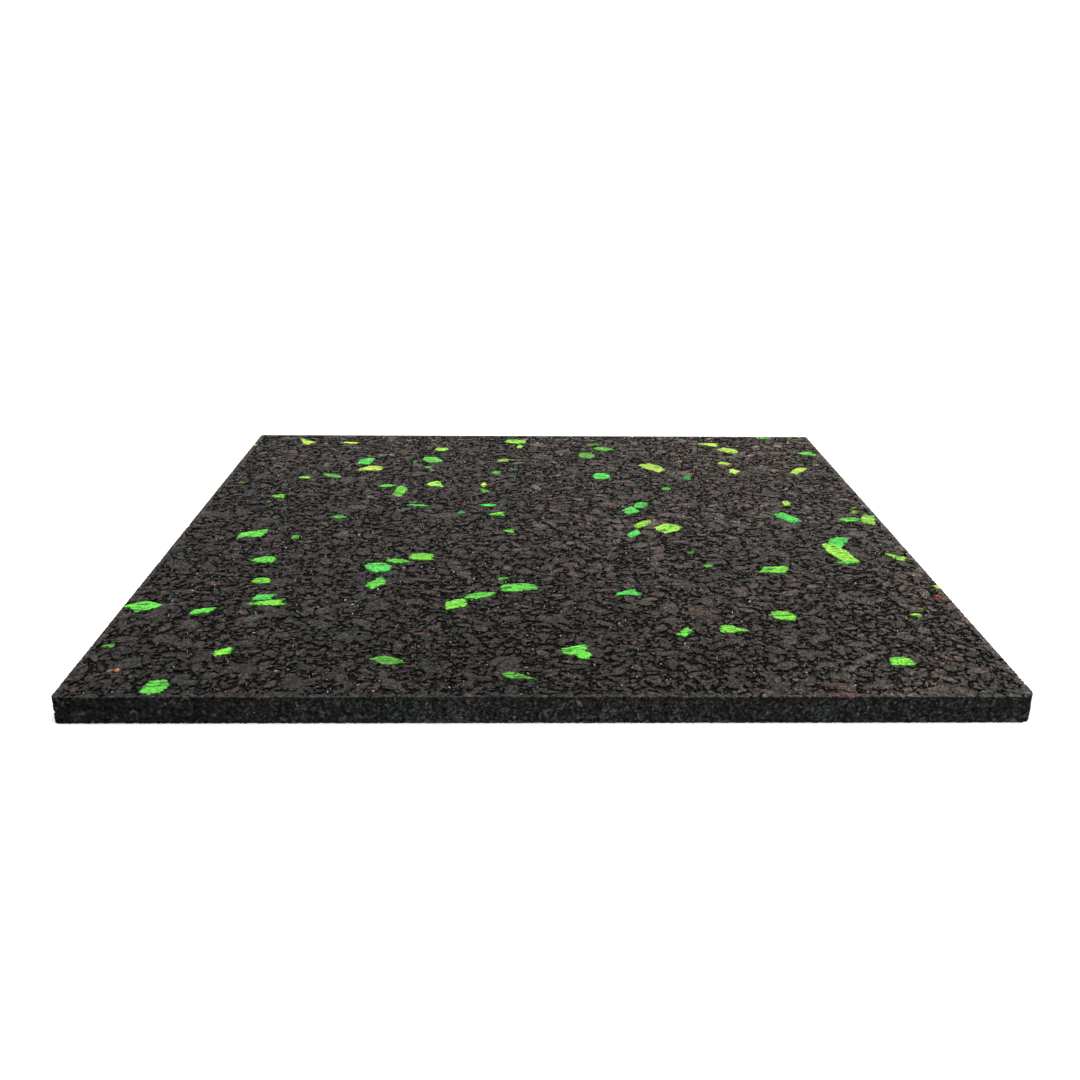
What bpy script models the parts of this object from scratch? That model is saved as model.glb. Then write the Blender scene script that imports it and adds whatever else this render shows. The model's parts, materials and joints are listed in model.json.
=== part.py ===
"""A gym floor tile: one square slab of crumb rubber, pressed and cured in a flat mould.

Units are metres and +Z is up. The origin is at the middle of the underside, so the tile lies on z = 0.
Black tyre crumb and a few coloured flakes are stirred into one binder and moulded together, so the
real tile is a single piece of one material. It is solid right through, with a flat tread face, a
flat underside and four upright faces that butt against the tiles beside it.
"""

import bpy
import bmesh
from mathutils import Vector

# Driving dimensions
SIDE_LENGTH = 0.500
THICKNESS = 0.015
CORNER_RADIUS = 0.003
ARRIS_RADIUS = 0.0005

# Facets in each quarter round
CORNER_FACETS = 6
ARRIS_FACETS = 2

# Black crumb rubber, as linear colour
RUBBER_COLOUR = (0.040, 0.036, 0.033, 1.0)
RUBBER_ROUGHNESS = 0.85
RUBBER_METALLIC = 0.0

# How nearly upright an edge is, and how close it lies to a face, to be picked for rounding
PICK_TOLERANCE = 1e-6


def clear_scene():
    """Take away whatever the file opened with."""
    for thing in list(bpy.data.objects):
        bpy.data.objects.remove(thing)


def rubber_material():
    """Matt black rubber."""
    material = bpy.data.materials.new("black_crumb_rubber")
    material.use_nodes = True
    shader = material.node_tree.nodes["Principled BSDF"]
    shader.inputs["Base Color"].default_value = RUBBER_COLOUR
    shader.inputs["Roughness"].default_value = RUBBER_ROUGHNESS
    shader.inputs["Metallic"].default_value = RUBBER_METALLIC
    material.diffuse_color = RUBBER_COLOUR
    return material


def upright_edges(mesh):
    """The four edges where two side faces meet."""
    picked = []
    for edge in mesh.edges:
        run = edge.verts[1].co - edge.verts[0].co
        if abs(run.x) < PICK_TOLERANCE and abs(run.y) < PICK_TOLERANCE:
            picked.append(edge)
    return picked


def rim_edges(mesh, height):
    """The edges round a flat face that lies at this height."""
    return [
        edge
        for edge in mesh.edges
        if all(abs(corner.co.z - height) < PICK_TOLERANCE for corner in edge.verts)
    ]


def round_over(mesh, edges, radius, facets):
    """Round these edges to a quarter circle of this radius."""
    bmesh.ops.bevel(
        mesh,
        geom=edges,
        offset=radius,
        offset_type="OFFSET",
        segments=facets,
        profile=0.5,
        affect="EDGES",
        clamp_overlap=True,
    )


def slab_mesh():
    """The square slab, with its corners rounded in plan and its top and bottom arrises eased."""
    mesh = bmesh.new()
    bmesh.ops.create_cube(mesh, size=1.0)
    bmesh.ops.scale(mesh, vec=Vector((SIDE_LENGTH, SIDE_LENGTH, THICKNESS)), verts=mesh.verts)
    bmesh.ops.translate(mesh, vec=Vector((0.0, 0.0, THICKNESS / 2)), verts=mesh.verts)
    round_over(mesh, upright_edges(mesh), CORNER_RADIUS, CORNER_FACETS)
    round_over(mesh, rim_edges(mesh, THICKNESS), ARRIS_RADIUS, ARRIS_FACETS)
    round_over(mesh, rim_edges(mesh, 0.0), ARRIS_RADIUS, ARRIS_FACETS)
    bmesh.ops.recalc_face_normals(mesh, faces=mesh.faces)
    data = bpy.data.meshes.new("rubber_tile")
    mesh.to_mesh(data)
    mesh.free()
    return data


def rubber_tile():
    """The one piece that the tile is made of, named for what it is."""
    tile = bpy.data.objects.new("rubber_tile", slab_mesh())
    tile.data.materials.append(rubber_material())
    bpy.context.scene.collection.objects.link(tile)
    return tile


clear_scene()
rubber_tile()
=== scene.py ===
# %% [markdown]
# # A gym floor tile pressed from rubber crumb
# The real tile starts as a heap of shredded tyre rubber with a handful of green flakes in it. The heap is
# wetted with binder, poured into a flat mould, pressed and cured. Everything that the eye picks out is a
# grain of that heap: flat chips a centimetre long, smaller crumbs between them, dust in the gaps.
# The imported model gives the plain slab. This lesson dresses it in grains, and it starts by loading the slab.

# %% Load the plain slab
import json
import math

import bmesh
import bpy
import numpy as np
from mathutils import Matrix, Vector, noise

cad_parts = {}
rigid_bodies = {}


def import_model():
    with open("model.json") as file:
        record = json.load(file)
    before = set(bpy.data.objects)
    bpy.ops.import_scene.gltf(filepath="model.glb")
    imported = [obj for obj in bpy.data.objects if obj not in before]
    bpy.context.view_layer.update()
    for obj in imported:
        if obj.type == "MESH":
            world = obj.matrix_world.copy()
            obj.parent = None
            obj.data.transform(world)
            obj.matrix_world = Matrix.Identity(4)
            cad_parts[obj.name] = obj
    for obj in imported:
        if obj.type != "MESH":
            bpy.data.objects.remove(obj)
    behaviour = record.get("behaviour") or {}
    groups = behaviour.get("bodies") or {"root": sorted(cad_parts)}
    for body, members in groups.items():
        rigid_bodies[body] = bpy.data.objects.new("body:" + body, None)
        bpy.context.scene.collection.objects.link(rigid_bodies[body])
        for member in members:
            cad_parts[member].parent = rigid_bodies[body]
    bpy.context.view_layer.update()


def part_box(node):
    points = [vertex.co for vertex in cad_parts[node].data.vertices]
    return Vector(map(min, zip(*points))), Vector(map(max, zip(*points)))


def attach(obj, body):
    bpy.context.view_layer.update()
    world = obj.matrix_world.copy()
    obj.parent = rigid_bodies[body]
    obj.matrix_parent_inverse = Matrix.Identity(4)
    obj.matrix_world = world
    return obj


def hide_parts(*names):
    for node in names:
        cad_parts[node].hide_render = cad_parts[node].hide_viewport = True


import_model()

MM = 0.001
slab_low, slab_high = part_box("rubber_tile")
HALF_SIDE = slab_high.x
TREAD = slab_high.z
print(f"slab {2 * HALF_SIDE / MM:.0f} mm square, {TREAD / MM:.1f} mm thick")

# %% [markdown]
# ## The mould
# A pressed tile owes its flat faces to the mould and not to its grains: a grain that would stick out is
# pushed back to the wall. The same trick works on points. Every grain below is made with no care for the
# edges of the tile, and one function then pushes each stray point back to the wall of a box with rounded
# corners and eased arrises. The right front corner is rounder than the left one, so each corner has a
# radius of its own. Each grain stops a hair short of the wall, by its own gap, because two faces in
# exactly the same plane would flicker where they overlap.

# %% Push points back into the mould
LEFT_FRONT, RIGHT_FRONT, RIGHT_BACK, LEFT_BACK = (3.0 * MM, 7.0 * MM, 3.0 * MM, 3.0 * MM)
CORNER_RADII = np.array([[LEFT_FRONT, LEFT_BACK], [RIGHT_FRONT, RIGHT_BACK]])
MOULD_ARRIS = 0.4 * MM
SMALLEST_REACH = 1e-9


def squeeze_into_mould(points, side_gap=0.0, top_gap=0.0, under_gap=0.0):
    """Points (..., 3) moved to inside the mould; each gap is how far from that wall they stop."""
    held = np.array(points, dtype=float)
    held[..., 2] = np.minimum(np.maximum(held[..., 2], under_gap), TREAD - top_gap)
    to_rim = np.minimum(held[..., 2], TREAD - held[..., 2])
    short = np.clip(MOULD_ARRIS - to_rim, 0.0, MOULD_ARRIS)
    eased = MOULD_ARRIS - np.sqrt(MOULD_ARRIS**2 - short**2)
    radius = CORNER_RADII[(held[..., 0] > 0).astype(int), (held[..., 1] > 0).astype(int)]
    straight = (HALF_SIDE - radius)[..., None]
    nearest = np.clip(held[..., :2], -straight, straight)
    outward = held[..., :2] - nearest
    reach = np.linalg.norm(outward, axis=-1)
    allowed = radius - eased - side_gap
    shrink = np.minimum(1.0, allowed / np.maximum(reach, SMALLEST_REACH))
    held[..., :2] = nearest + outward * shrink[..., None]
    return held


print("corner of the mould lands at", squeeze_into_mould([[1.0, 1.0, 1.0]]).round(5).tolist())

# %% [markdown]
# ## One grain, many times
# A shredded grain is a flat chip: a many-sided outline torn along a few straight cuts, a face that the
# mould pressed flat, a rim that slopes away, and a foot lost in the rubber below. It could be sculpted, or
# scattered with Geometry Nodes. Here numpy works out the rings of all the grains at once, as one array,
# because thousands of different grains then cost a second or two, and each is a closed solid of its own.

# %% Outlines torn along straight cuts
FULL_TURN = 2.0 * math.pi
TEAR_CUTS = 5
LEAST_FACING = 0.2
NO_CUT = 9.0
LONGEST_REACH = 1.3


def torn_outlines(dice, count, sides, ragged=0.12):
    """Directions and distances of the outline points of each grain, about 1 from its middle."""
    step = (np.arange(sides) + dice.uniform(-0.3, 0.3, (count, sides))) / sides
    heading = FULL_TURN * step
    cut_step = (np.arange(TEAR_CUTS) + dice.uniform(-0.4, 0.4, (count, TEAR_CUTS))) / TEAR_CUTS
    cut_heading = FULL_TURN * (cut_step + dice.uniform(0.0, 1.0, (count, 1)))
    cut_distance = dice.uniform(0.60, 1.0, (count, TEAR_CUTS))
    facing = np.cos(heading[:, :, None] - cut_heading[:, None, :])
    distance = cut_distance[:, None, :] / np.maximum(facing, LEAST_FACING)
    to_cut = np.where(facing > LEAST_FACING, distance, NO_CUT)
    reach = np.minimum(to_cut.min(axis=2), LONGEST_REACH)
    return heading, reach * dice.uniform(1.0 - ragged, 1.0 + ragged, (count, sides))


# %% [markdown]
# ## From rings to a closed solid
# A real crumb has no hole in it, so its mesh should have none either. A hull wrapped round loose points
# would close it as well, but would smooth away the torn edge. The rings are joined like the hoops of a
# barrel instead, with a crown point on top and a foot point below. Every grain also gets a cell of its own
# on the texture map, so that a baked picture could hold the colours of all of them side by side.

# %% How the rings of a grain are joined, and where each triangle lies on the texture map
MAP_RIM = 0.41
MAP_FOOT = 0.49


def ring_triangles(sides, rings):
    """Triangles between the crown point, the rings from the top down, and the foot point."""
    here = np.arange(sides)
    after = (here + 1) % sides
    foot = 1 + sides * rings
    rows = [np.stack([np.zeros_like(here), 1 + here, 1 + after], axis=1)]
    for ring in range(rings - 1):
        upper = 1 + sides * ring
        lower = upper + sides
        rows.append(np.stack([upper + here, lower + here, lower + after], axis=1))
        rows.append(np.stack([upper + here, lower + after, upper + after], axis=1))
    last = 1 + sides * (rings - 1)
    rows.append(np.stack([np.full_like(here, foot), last + after, last + here], axis=1))
    return np.concatenate(rows)


def ring_map(sides, rings):
    """Map places of those triangles in a cell 1 wide, its middle at 0; the foot is spread round the edge."""
    angle = FULL_TURN * np.arange(sides) / sides
    radius = MAP_RIM * (np.arange(rings) + 1) / rings
    places = [np.zeros((1, 2))]
    for r in radius:
        places.append(r * np.stack([np.cos(angle), np.sin(angle)], axis=1))
    places.append(np.zeros((1, 2)))
    corners = np.concatenate(places)[ring_triangles(sides, rings)]
    between = angle + math.pi / sides
    corners[-sides:, 0] = MAP_FOOT * np.stack([np.cos(between), np.sin(between)], axis=1)
    return corners


print("a chip with 11 sides has", len(ring_triangles(11, 3)), "triangles")

# %% Make the grains themselves
FULL_SAG_SIZE = 7.0
FOOT_POINT = 0.6


def pressed_grains(dice, spots, length, width, drop, sides, rings, slope=0.05, thick=(1.2, 2.4), slump=0.4):
    """Grains under the plane z = 0, as points (count, points, 3) in metres, from sizes in millimetres.

    slope is how far the faces lean, thick how deep the grains go, and slump the most that a rim sags.
    """
    count = len(spots)
    heading, reach = torn_outlines(dice, count, sides)
    flat_x = reach * np.cos(heading) * length[:, None] / 2
    flat_y = reach * np.sin(heading) * width[:, None] / 2
    turn = dice.uniform(0.0, FULL_TURN, (count, 1))
    rim_x = flat_x * np.cos(turn) - flat_y * np.sin(turn)
    rim_y = flat_x * np.sin(turn) + flat_y * np.cos(turn)
    lean = dice.normal(0.0, slope, (count, 2))
    size = np.sqrt(length * width)[:, None]
    foot_depth = dice.uniform(thick[0], thick[1], (count, 1))
    crown_side = dice.uniform(-0.25, 0.25, (count, 2)) * size
    # From the top down: crown point, inner ring, rim, tucked ring and foot point
    levels = [(crown_side[:, :1], crown_side[:, 1:], dice.uniform(-0.12, 0.12, (count, 1)))]
    if rings > 2:
        inner = dice.uniform(0.45, 0.82, (count, sides))
        levels.append((rim_x * inner, rim_y * inner, dice.uniform(-0.16, 0.08, (count, sides))))
    sag = dice.uniform(0.03, slump, (count, sides)) * np.minimum(size / FULL_SAG_SIZE, 1.0)
    levels.append((rim_x, rim_y, -sag))
    tuck = dice.uniform(0.75, 1.02, (count, sides))
    levels.append((rim_x * tuck, rim_y * tuck, -foot_depth - sag))
    levels.append((np.zeros((count, 1)), np.zeros((count, 1)), -foot_depth - FOOT_POINT))
    x = np.concatenate([level[0] for level in levels], axis=1)
    y = np.concatenate([level[1] for level in levels], axis=1)
    z = np.concatenate([level[2] for level in levels], axis=1)
    z = np.minimum(z + lean[:, :1] * x + lean[:, 1:] * y, 0.0) - drop[:, None]
    return np.stack([x + spots[:, :1], y + spots[:, 1:], z], axis=2) * MM


# %% [markdown]
# ## One mesh for thousands of grains
# In the tile the grains are glued together and none can be lifted out. Thousands of separate objects
# would be slow and hard to keep in order, so all the grains of a size become one mesh, filled straight
# from the arrays. Each point carries the grain's tint, full on the face, with painted shade at the rim
# and more at the foot, where shade falls between the grains.

# %% Turn arrays of grains into one mesh
TINT = "grain_tint"
# Painted shade: the rim and foot of every grain are darkened, as shade falls between the grains.
FACE_SHADE = 1.0
RIM_SHADE = 0.62
FOOT_SHADE = 0.16


def level_shades(sides, rings, rim_shade):
    """How much of its tint each point of a grain shows: all on the face, less with painted shade at rim and
    foot.
    """
    ring_shades = [FACE_SHADE] * (rings - 2) + [rim_shade, FOOT_SHADE]
    return np.concatenate([[FACE_SHADE], np.repeat(ring_shades, sides), [FOOT_SHADE]])


def grain_object(name, points, tints, sides, rings, rim_shade=RIM_SHADE):
    """One mesh object of many closed grains, with a tint on every point and a cell of the map for each."""
    count, per_grain = points.shape[:2]
    pattern = ring_triangles(sides, rings)
    corners = (pattern[None] + per_grain * np.arange(count)[:, None, None]).reshape(-1)
    across = math.ceil(math.sqrt(count))
    cell = np.stack([np.arange(count) % across, np.arange(count) // across], axis=1) + 0.5
    places = (ring_map(sides, rings)[None] + cell[:, None, None, :]) / across
    mesh = bpy.data.meshes.new(name)
    mesh.vertices.add(count * per_grain)
    mesh.vertices.foreach_set("co", points.reshape(-1).astype(np.float32))
    mesh.loops.add(len(corners))
    mesh.loops.foreach_set("vertex_index", corners.astype(np.int32))
    mesh.polygons.add(len(corners) // 3)
    mesh.polygons.foreach_set("loop_start", np.arange(0, len(corners), 3, dtype=np.int32))
    mesh.uv_layers.new(name="OFBake").uv.foreach_set("vector", places.reshape(-1).astype(np.float32))
    mesh.update(calc_edges=True)
    mesh.shade_flat()
    tint = mesh.color_attributes.new(name=TINT, type="FLOAT_COLOR", domain="POINT")
    rgba = np.ones((count, per_grain, 4), dtype=np.float32)
    rgba[..., :3] = tints[:, None, :] * level_shades(sides, rings, rim_shade)[None, :, None]
    tint.data.foreach_set("color", rgba.reshape(-1))
    mesh.validate()
    piece = bpy.data.objects.new(name, mesh)
    bpy.context.scene.collection.objects.link(piece)
    print(f"{name}: {count} grains, {len(mesh.polygons)} triangles")
    return piece


# %% [markdown]
# ## Where the grains go
# Grains thrown at random would leave bare gaps beside heaps. A tile is poured and raked level, so each
# grain has its own patch of ground: a grid of spots, each knocked a little off its place. A chart of the
# tread, one cell to a millimetre, remembers what is covered, so small crumbs fill only the gaps that the
# chips leave, as they do when the mix is shaken down.

# %% Spots and the chart of covered ground
SIDE_MM = 2 * HALF_SIDE / MM
CHART_CELLS = int(round(SIDE_MM))
covered = np.zeros((CHART_CELLS, CHART_CELLS), dtype=bool)
MARKED_RINGS = np.linspace(0.0, 0.95, 9)


def raked_spots(dice, pitch, wide=SIDE_MM, tall=SIDE_MM, knock=0.42):
    """Spots about `pitch` millimetres apart over a rectangle with its middle at the origin."""
    across = int(round(wide / pitch))
    up = int(round(tall / pitch))
    column, row = np.meshgrid(np.arange(across), np.arange(up))
    x = (column + 0.5 + dice.uniform(-knock, knock, column.shape)) * wide / across - wide / 2
    y = (row + 0.5 + dice.uniform(-knock, knock, row.shape)) * tall / up - tall / 2
    return np.stack([x.ravel(), y.ravel()], axis=1)


def chart_cells(spots):
    """Row and column on the chart of spots in millimetres."""
    cells = np.clip((spots + SIDE_MM / 2).astype(int), 0, CHART_CELLS - 1)
    return cells[..., 1], cells[..., 0]


def mark_covered(points, sides, rings):
    """Mark the ground under these grains on the chart."""
    rim_start = 1 + sides * (rings - 2)
    rim = points[:, rim_start:rim_start + sides, :2] / MM
    middle = rim.mean(axis=1, keepdims=True)
    between = (rim + np.roll(rim, 1, axis=1)) / 2
    outline = np.concatenate([rim, between], axis=1)
    for share in MARKED_RINGS:
        covered[chart_cells(middle + share * (outline - middle))] = True


print(f"chart of {CHART_CELLS} by {CHART_CELLS} cells")

# %% [markdown]
# ## The tones of the black grains
# Tyre rubber is never one black. Treads, walls and inner tubes are shredded together, so grains run from
# soot to warm grey, some brown, a few reddish, and a few pale, partly dust and partly painted glints.
# One picture could hold that, but here each grain carries its own tint as a colour attribute, which
# follows the mesh anywhere.
# Slow drifts over the tile come from a coarse grid of random numbers, blended between its points. The
# tints also carry painted light: warmer and paler toward the back, the right and the ends, where the
# tread catches more light, with painted shade in the middle of the front, and tones spread wider toward
# the back as painted shade for its gaps.

# %% Slow drifts of tone over the tile
def drift(dice, spots, pitch):
    """A smooth random value for each spot, mostly between -1 and 1, that changes over `pitch` mm."""
    cells = int(math.ceil(SIDE_MM / pitch)) + 2
    grid = dice.normal(0.0, 0.6, (cells, cells))
    place = (spots + SIDE_MM / 2) / pitch
    place = np.clip(place, 0.0, cells - 1.001)
    whole = place.astype(int)
    part = place - whole
    part = part * part * (3.0 - 2.0 * part)
    column, row = whole[:, 0], whole[:, 1]
    low = grid[row, column] * (1 - part[:, 0]) + grid[row, column + 1] * part[:, 0]
    high = grid[row + 1, column] * (1 - part[:, 0]) + grid[row + 1, column + 1] * part[:, 0]
    return low * (1 - part[:, 1]) + high * part[:, 1]


# %% A tint for each black grain
SOOT = np.array([0.0165, 0.0155, 0.0137])
WARM_GREY = np.array([0.0375, 0.0280, 0.0235])
RED_BROWN = np.array([0.0440, 0.0240, 0.0200])
DEEP_TEAL = np.array([0.0050, 0.0150, 0.0135])
DUST_AND_GLINT = np.array([0.2600, 0.2600, 0.2500])
# Painted light: warmer and paler to the right, back and ends; painted shade in the front middle.
WARM_ALL, WARM_DRIFT, PAINTED_LIGHT_WARM_RIGHT, PAINTED_LIGHT_WARM_BACK, WARM_LUCK = (0.45, 0.35, 0.22, 0.18, 0.22)
PALE_ALL, PALE_DRIFT, PAINTED_LIGHT_BACK, PAINTED_LIGHT_RIGHT, PAINTED_LIGHT_ENDS = (0.11, 0.14, 0.22, 0.31, 0.10)
PAINTED_LIGHT_RIGHT_LOST_AT_BACK = 0.14
PAINTED_SHADE_FRONT_MIDDLE = 0.25
FRONT_MIDDLE_WIDTH = 0.45
RUDDY_DRIFT = 0.12
RUDDY = (1.0, -0.2, -0.1)
WARM_PITCH, RUDDY_PITCH, PALE_PITCH = (70.0, 22.0, 45.0)
DARK_LUCK = 1.35
SPREAD_FRONT, SPREAD_BACK, SPREAD_FROM, SPREAD_TO = (0.75, 0.90, 0.2, 1.2)


def black_tints(
    dice, spots, spread=0.30, red=0.010, teal=0.0, dust_and_glints=0.0, dark=SOOT, light=WARM_GREY, even=False
):
    """Linear colours for black grains at these spots, with the shares of odd grains given.

    spread is how much the tones differ, and `even` leaves out the painted light leaning to the back and right.
    """
    count = len(spots)
    side = spots / (SIDE_MM / 2) * (0.0 if even else 1.0)
    right, back = (side[:, 0], side[:, 1])
    # Own warmth drifts at random, plus painted light that warms the right and the back.
    warmth = WARM_ALL + WARM_DRIFT * drift(dice, spots, WARM_PITCH) + PAINTED_LIGHT_WARM_RIGHT * right + PAINTED_LIGHT_WARM_BACK * back
    warmth = np.clip(warmth + dice.normal(0.0, WARM_LUCK, count), 0.0, 1.0)[:, None]
    tints = dark * (1.0 - warmth) + light * warmth
    ruddy = RUDDY_DRIFT * drift(dice, spots, RUDDY_PITCH)
    tints = tints * (1.0 + ruddy[:, None] * RUDDY)
    # Own tone drifts, plus painted light to the back, right and ends and painted shade in the front middle.
    pale = PALE_ALL + PALE_DRIFT * drift(dice, spots, PALE_PITCH) + PAINTED_LIGHT_BACK * back
    pale = pale + (PAINTED_LIGHT_RIGHT - PAINTED_LIGHT_RIGHT_LOST_AT_BACK * back) * right + PAINTED_LIGHT_ENDS * np.abs(right)
    front_middle = np.exp(-((right / FRONT_MIDDLE_WIDTH) ** 2))
    pale = pale - PAINTED_SHADE_FRONT_MIDDLE * front_middle * np.clip(-back, 0.0, 1.0)
    luck = dice.normal(0.0, 1.0, count)
    luck = luck * np.where(luck < 0.0, DARK_LUCK, 1.0)
    # Tones spread wider toward the back, partly painted shade standing for gaps seen there at a low angle.
    varied = spread * (SPREAD_FRONT + SPREAD_BACK * np.clip(back + SPREAD_FROM, 0.0, SPREAD_TO)) * luck
    tints = tints * np.exp(varied + pale)[:, None]
    odd = dice.uniform(0.0, 1.0, count)
    tints[odd < red] = RED_BROWN * dice.uniform(0.6, 1.2, ((odd < red).sum(), 1))
    is_teal = (odd >= red) & (odd < red + teal)
    tints[is_teal] = DEEP_TEAL
    # A few pale grains: partly dust, partly painted glints.
    is_dust_and_glint = odd > 1.0 - dust_and_glints
    tints[is_dust_and_glint] = DUST_AND_GLINT * dice.uniform(0.3, 1.6, (is_dust_and_glint.sum(), 1))
    return tints


# %% [markdown]
# ## The finish of black rubber
# Cut rubber is matt with a faint sheen where the mould pressed it, and close up it is pitted. Base
# colour, roughness and bump all come from noise in the object's own coordinates, so the pattern sits
# still on the rubber. The grain's tint is multiplied by a fine mottle from the pits, partly painted shade
# in their hollows, and by drawn-out strands, because torn rubber parts along strings. Sheen is taken from
# the pits too, since a pit can't shine.

# %% Small helpers for shader nodes
def node(tree, kind, **settings):
    """A new node with its properties set."""
    made = tree.nodes.new(kind)
    for name, value in settings.items():
        setattr(made, name, value)
    return made


def noise_node(tree, place, scale, detail=3.0, roughness=0.6):
    """Noise with features about 1 / scale metres across."""
    made = node(tree, "ShaderNodeTexNoise")
    made.inputs["Scale"].default_value = scale
    made.inputs["Detail"].default_value = detail
    made.inputs["Roughness"].default_value = roughness
    tree.links.new(place, made.inputs["Vector"])
    return made.outputs["Fac"]


def ranged(tree, value, low, high, to_low, to_high):
    """A value stretched from one range to another, and clamped."""
    made = node(tree, "ShaderNodeMapRange")
    for slot_name, number in (("From Min", low), ("From Max", high), ("To Min", to_low), ("To Max", to_high)):
        made.inputs[slot_name].default_value = number
    tree.links.new(value, made.inputs["Value"])
    return made.outputs["Result"]


def blended(tree, kind, share, first, second):
    """Two colours mixed; each may be a socket or a plain colour."""
    made = node(tree, "ShaderNodeMix", data_type="RGBA", blend_type=kind)
    for slot_name, value in (("Factor", share), ("A", first), ("B", second)):
        socket = [s for s in made.inputs if s.name == slot_name and s.enabled][0]
        if isinstance(value, bpy.types.NodeSocket):
            tree.links.new(value, socket)
        else:
            socket.default_value = value
    return [s for s in made.outputs if s.enabled][0]


def bumped(tree, height, strength, distance, under=None):
    """A bump node, laid over another when `under` is given."""
    made = node(tree, "ShaderNodeBump")
    made.inputs["Strength"].default_value = strength
    made.inputs["Distance"].default_value = distance
    tree.links.new(height, made.inputs["Height"])
    if under is not None:
        tree.links.new(under, made.inputs["Normal"])
    return made.outputs["Normal"]


# %% Black rubber
def along_fibres(tree, place, heading, stretch):
    """Coordinates drawn out along one heading, for a pattern of strands."""
    made = node(tree, "ShaderNodeMapping", vector_type="TEXTURE")
    made.inputs["Rotation"].default_value = (0.0, 0.0, math.radians(heading))
    made.inputs["Scale"].default_value = (stretch, 1.0, 1.0)
    tree.links.new(place, made.inputs["Vector"])
    return made.outputs["Vector"]


def shaded(tree, tint, shade):
    """A colour multiplied by a number that changes over the surface."""
    grey = node(tree, "ShaderNodeCombineColor")
    for channel in ("Red", "Green", "Blue"):
        tree.links.new(shade, grey.inputs[channel])
    return blended(tree, "MULTIPLY", 1.0, tint, grey.outputs["Color"])


def black_rubber(name, mottle=(0.05, 2.15), strands=(0.20, 1.95), sheen=(0.38, 0.80), gloss=(0.0, 0.44)):
    """Matt, pitted, stringy rubber that takes its tint from the grain.

    mottle and strands are the least and most that pits and strings leave of the tint, the pits' dark end
    being painted shade in their hollows; sheen is the range of roughness, and gloss the range of shine.
    """
    material = bpy.data.materials.new(name)
    material.use_nodes = True
    tree = material.node_tree
    shader = tree.nodes["Principled BSDF"]
    place = node(tree, "ShaderNodeTexCoord").outputs["Object"]
    tint = node(tree, "ShaderNodeAttribute", attribute_name=TINT).outputs["Color"]
    pits = noise_node(tree, place, scale=620.0, detail=4.0, roughness=0.9)
    strings = along_fibres(tree, place, heading=62.0, stretch=3.5)
    fibres = noise_node(tree, strings, scale=1000.0, detail=2.0)
    cloud = noise_node(tree, place, scale=300.0, detail=2.0)
    # Painted shade: the pit mottle darkens the colour in the hollows of the pits.
    colour = shaded(tree, tint, ranged(tree, pits, 0.34, 0.66, mottle[0], mottle[1]))
    colour = shaded(tree, colour, ranged(tree, fibres, 0.34, 0.66, strands[0], strands[1]))
    tree.links.new(colour, shader.inputs["Base Color"])
    tree.links.new(ranged(tree, cloud, 0.3, 0.7, sheen[0], sheen[1]), shader.inputs["Roughness"])
    tree.links.new(ranged(tree, pits, 0.42, 0.66, gloss[0], gloss[1]), shader.inputs["Specular IOR Level"])
    swells = bumped(tree, cloud, strength=0.4, distance=0.6 * MM)
    pitted = bumped(tree, pits, strength=1.0, distance=0.4 * MM, under=swells)
    tree.links.new(pitted, shader.inputs["Normal"])
    return material


tread_rubber = black_rubber("black_tread_rubber")
print("made", tread_rubber.name)

# %% [markdown]
# ## Green flakes, placed one by one
# The flakes are the part of this tile that anyone would recognise, so they aren't left to chance. Each
# has its place, length, width and heading as read off the tile, its tone, and the form that it comes
# nearest to. Forms are short outlines; the tearing between their corners is worked out below.

# %% The forms a flake comes in
FLAKE_FORMS = {
    "slab": [(-1.0, -0.7), (0.1, -1.0), (1.0, -0.8), (0.9, 0.5), (0.2, 1.0), (-0.9, 0.8)],
    "lean": [(-1.0, -0.8), (0.4, -1.0), (1.0, 0.6), (0.8, 1.0), (-0.6, 0.7)],
    "lump": [(-1.0, -0.2), (-0.5, -0.9), (0.4, -1.0), (1.0, -0.3), (0.8, 0.7), (-0.1, 1.0), (-0.8, 0.7)],
    "wedge": [(-1.0, -0.2), (0.7, -1.0), (1.0, -0.5), (0.6, 0.1), (0.9, 0.9), (0.5, 1.0), (-0.9, 0.3)],
    "drop": [
        (-1.0, 0.0), (-0.8, -0.7), (-0.3, -1.0), (0.2, -0.5),
        (1.0, -0.1), (0.3, 0.3), (-0.3, 0.9), (-0.8, 0.8),
    ],
    "sliver": [(-1.0, -0.4), (-0.2, -1.0), (0.6, -0.6), (1.0, 0.2), (0.3, 1.0), (-0.6, 0.5)],
}

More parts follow.
